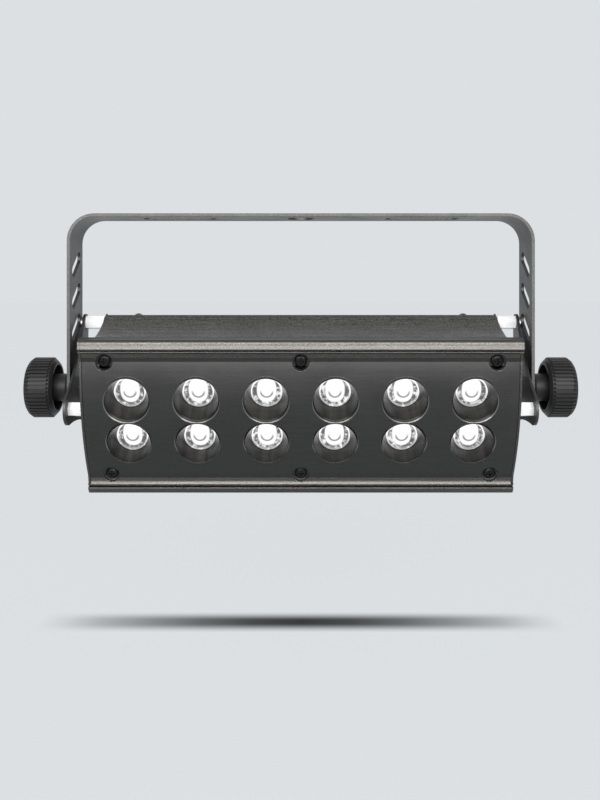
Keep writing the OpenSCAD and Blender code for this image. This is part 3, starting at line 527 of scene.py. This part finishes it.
def dress_extrusion():
    """Gives the extrusion's rails and its scooped top and bottom their own finishes."""
    body = NODES["housing_extrusion"]
    body.data.materials.clear()
    wear(body.data, "extrusion", "scoop")
    for polygon in body.data.polygons:
        local = to_housing(body.matrix_world @ polygon.center)
        if local.y > -BODY_DEPTH + RAIL_DEPTH:
            polygon.material_index = 1


def dress_panel():
    """Gives the lamp cups, their mouths, the flat edges and the screw recesses their own finishes."""
    panel = NODES["front_panel"]
    wear(panel.data, "cup", "mouth", "flange", "bare")
    cup, mouth, flange, bare = range(1, 5)
    for polygon in panel.data.polygons:
        local = to_housing(panel.matrix_world @ polygon.center)
        facing = polygon.normal.dot(-BACK)
        if abs(local.z) > FLANGE_HEIGHT and facing > FLAT_FACING:
            polygon.material_index = flange
        elif facing < WALL_FACING and in_recess(local):
            polygon.material_index = bare
        elif facing < BULGE_FACING and in_cup(local):
            polygon.material_index = mouth if facing > MOUTH_FACING else cup


# Cove strips

HOUSING_PLACE = Matrix.Translation(PIVOT) @ Matrix.Rotation(HOUSING_TILT, 4, "X")


def cove_outline():
    """Section of a strip as depth and height: hollow face, and a flat rear a little under the panel."""
    arc = []
    for step in range(COVE_STEPS + 1):
        angle = math.radians(COVE_TURN * step / COVE_STEPS)
        arc.append((COVE_START[0] - COVE_RADIUS * (1 - math.cos(angle)),
                    COVE_START[1] + COVE_RADIUS * math.sin(angle)))
    back = COVE_START[0] + COVE_SUNK
    return [(back, arc[0][1])] + arc + [(back, arc[-1][1])]


def recess_cutter():
    """The cylinders of all screw recesses, to open the strips round the panel screws."""
    shape = bmesh.new()
    to_front = Matrix.Rotation(math.radians(90), 4, "X")
    for x, high in RECESSES:
        place = HOUSING_PLACE @ Matrix.Translation((x * MM, -BODY_DEPTH, high * MM)) @ to_front
        bmesh.ops.create_cone(shape, cap_ends=True, segments=CUTTER_SIDES, radius1=RECESS_RADIUS,
                              radius2=RECESS_RADIUS, depth=CUTTER_LENGTH, matrix=place)
    mesh = bpy.data.meshes.new("recesses")
    shape.to_mesh(mesh)
    shape.free()
    cutter = bpy.data.objects.new("recesses", mesh)
    add_to_scene(cutter)
    return cutter


def cove_mesh(name, outline, sign):
    """A strip along the bar, above the panel for sign 1 and below it for sign -1."""
    points = []
    for end in (-COVE_HALF_LENGTH, COVE_HALF_LENGTH):
        points += [HOUSING_PLACE @ Vector((end, depth - BODY_DEPTH, sign * high)) for depth, high in outline]
    count = len(outline)
    faces = [(i, (i + 1) % count, (i + 1) % count + count, i + count) for i in range(count)]
    faces += [tuple(range(count)), tuple(range(count, 2 * count))]
    mesh = bpy.data.meshes.new(name)
    mesh.from_pydata(points, [], faces)
    shape = bmesh.new()
    shape.from_mesh(mesh)
    bmesh.ops.recalc_face_normals(shape, faces=shape.faces)
    shape.to_mesh(mesh)
    shape.free()
    return mesh


def add_coves():
    """Concave strips between the front panel's edges and the rails, open round the panel screws."""
    outline = cove_outline()
    cutter = recess_cutter()
    for name, sign in (("upper_cove", 1), ("lower_cove", -1)):
        cove = bpy.data.objects.new(name, cove_mesh(name, outline, sign))
        add_to_scene(cove)
        cut = cove.modifiers.new("recesses", "BOOLEAN")
        cut.operation = "DIFFERENCE"
        cut.object = cutter
        bpy.context.view_layer.update()
        shaped = bpy.data.meshes.new_from_object(cove.evaluated_get(bpy.context.evaluated_depsgraph_get()))
        cove.modifiers.clear()
        cove.data = shaped
        shaped.materials.clear()
        wear(shaped, "extrusion")
        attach(cove, "housing")
    bpy.data.objects.remove(cutter)


# Studio


def make_world():
    """The plain backdrop for camera, metal and glass, and a banded room that lights matt surfaces."""
    world = bpy.data.worlds.new("studio")
    bpy.context.scene.world = world
    world.use_nodes = True
    world.node_tree.nodes.clear()
    t = Tree(world.node_tree)
    where = t.add("ShaderNodeTexCoord")
    side, back, up = t.split(where.outputs["Generated"])
    angle = t.calc("ARCTAN2", up, t.calc("MULTIPLY", back, -1))
    bands = t.ramp(t.spread(angle, -math.pi, math.pi),
                   [((degrees + 180) / 360, value) for degrees, value in ROOM], "EASE")
    room = t.add("ShaderNodeBackground")
    t.link(bands, room.inputs["Color"])
    t.link(t.spread(t.calc("ABSOLUTE", side), 0, 1, 1, 1 - ROOM_SIDES), room.inputs["Strength"])
    seen = t.add("ShaderNodeBackground", Color=(*BACKDROP, 1))
    paths = t.add("ShaderNodeLightPath").outputs
    direct = t.calc("MAXIMUM", paths["Is Camera Ray"], paths["Is Transmission Ray"])
    mix = t.add("ShaderNodeMixShader")
    t.link(t.calc("MAXIMUM", direct, paths["Is Glossy Ray"]), mix.inputs["Fac"])
    t.link(room.outputs["Background"], mix.inputs[1])
    t.link(seen.outputs["Background"], mix.inputs[2])
    out = t.add("ShaderNodeOutputWorld")
    t.link(mix.outputs["Shader"], out.inputs["Surface"])


def make_floor():
    """A pale floor of the backdrop's colour with a painted shadow below the bar. Its faint matt part also takes a
    cast shadow, and metal and glass show it.
    """
    mesh = bpy.data.meshes.new("floor")
    corners = [(x * FLOOR_HALF, y * FLOOR_HALF, 0) for x, y in ((-1, -1), (1, -1), (1, 1), (-1, 1))]
    mesh.from_pydata(corners, [], [(0, 1, 2, 3)])
    floor = bpy.data.objects.new("floor", mesh)
    floor.location = (0, 0, FLOOR_Z)
    add_to_scene(floor)
    floor.visible_diffuse = False
    s = Shader("floor_paint_with_painted_shadow")
    s.set(Roughness=1.0, Specular_IOR_Level=0.0, Emission_Strength=FLOOR_GLOW)
    where = s.add("ShaderNodeTexCoord")
    side, back, _ = s.split(where.outputs["Object"])
    # Painted shadow: a dark patch drawn into the floor's colour and glow below the bar, darkest in the middle
    along = s.calc("DIVIDE", s.calc("ABSOLUTE", side), PAINTED_SHADOW_LENGTH)
    passed = s.ramp(along, [(x * MM / PAINTED_SHADOW_LENGTH, value) for x, value in PAINTED_SHADOW_ALONG])
    across = s.step(s.calc("ABSOLUTE", back), PAINTED_SHADOW_REACH, PAINTED_SHADOW_CORE)
    shadow = s.calc("MULTIPLY", across, s.calc("SUBTRACT", 1, passed))
    s.into("Base_Color", s.ramp(shadow, [(0, shade(BACKDROP, FLOOR_PAINT)), (1, BLACK)]))
    s.into("Emission_Color", s.ramp(shadow, [(0, BACKDROP), (1, BLACK)]))
    mesh.materials.append(s.material)


def add_softbox():
    """A soft lamp in front of the bar, aimed at the tilt axis."""
    data = bpy.data.lights.new("front_softbox", "AREA")
    data.shape = "RECTANGLE"
    data.size = SOFTBOX_WIDTH
    data.size_y = SOFTBOX_HEIGHT
    data.energy = SOFTBOX_RADIANCE * math.pi * SOFTBOX_WIDTH * SOFTBOX_HEIGHT
    lamp = bpy.data.objects.new("front_softbox", data)
    rise = math.radians(SOFTBOX_ELEVATION)
    way = Vector((0, -math.cos(rise), math.sin(rise)))
    lamp.location = PIVOT + SOFTBOX_DISTANCE * way
    lamp.rotation_euler = way.to_track_quat("Z", "Y").to_euler()
    add_to_scene(lamp)


make_camera()
make_world()
add_softbox()
make_floor()
dress_nodes()
dress_extrusion()
dress_panel()
add_coves()

bpy.context.scene.view_settings.view_transform = "Standard"
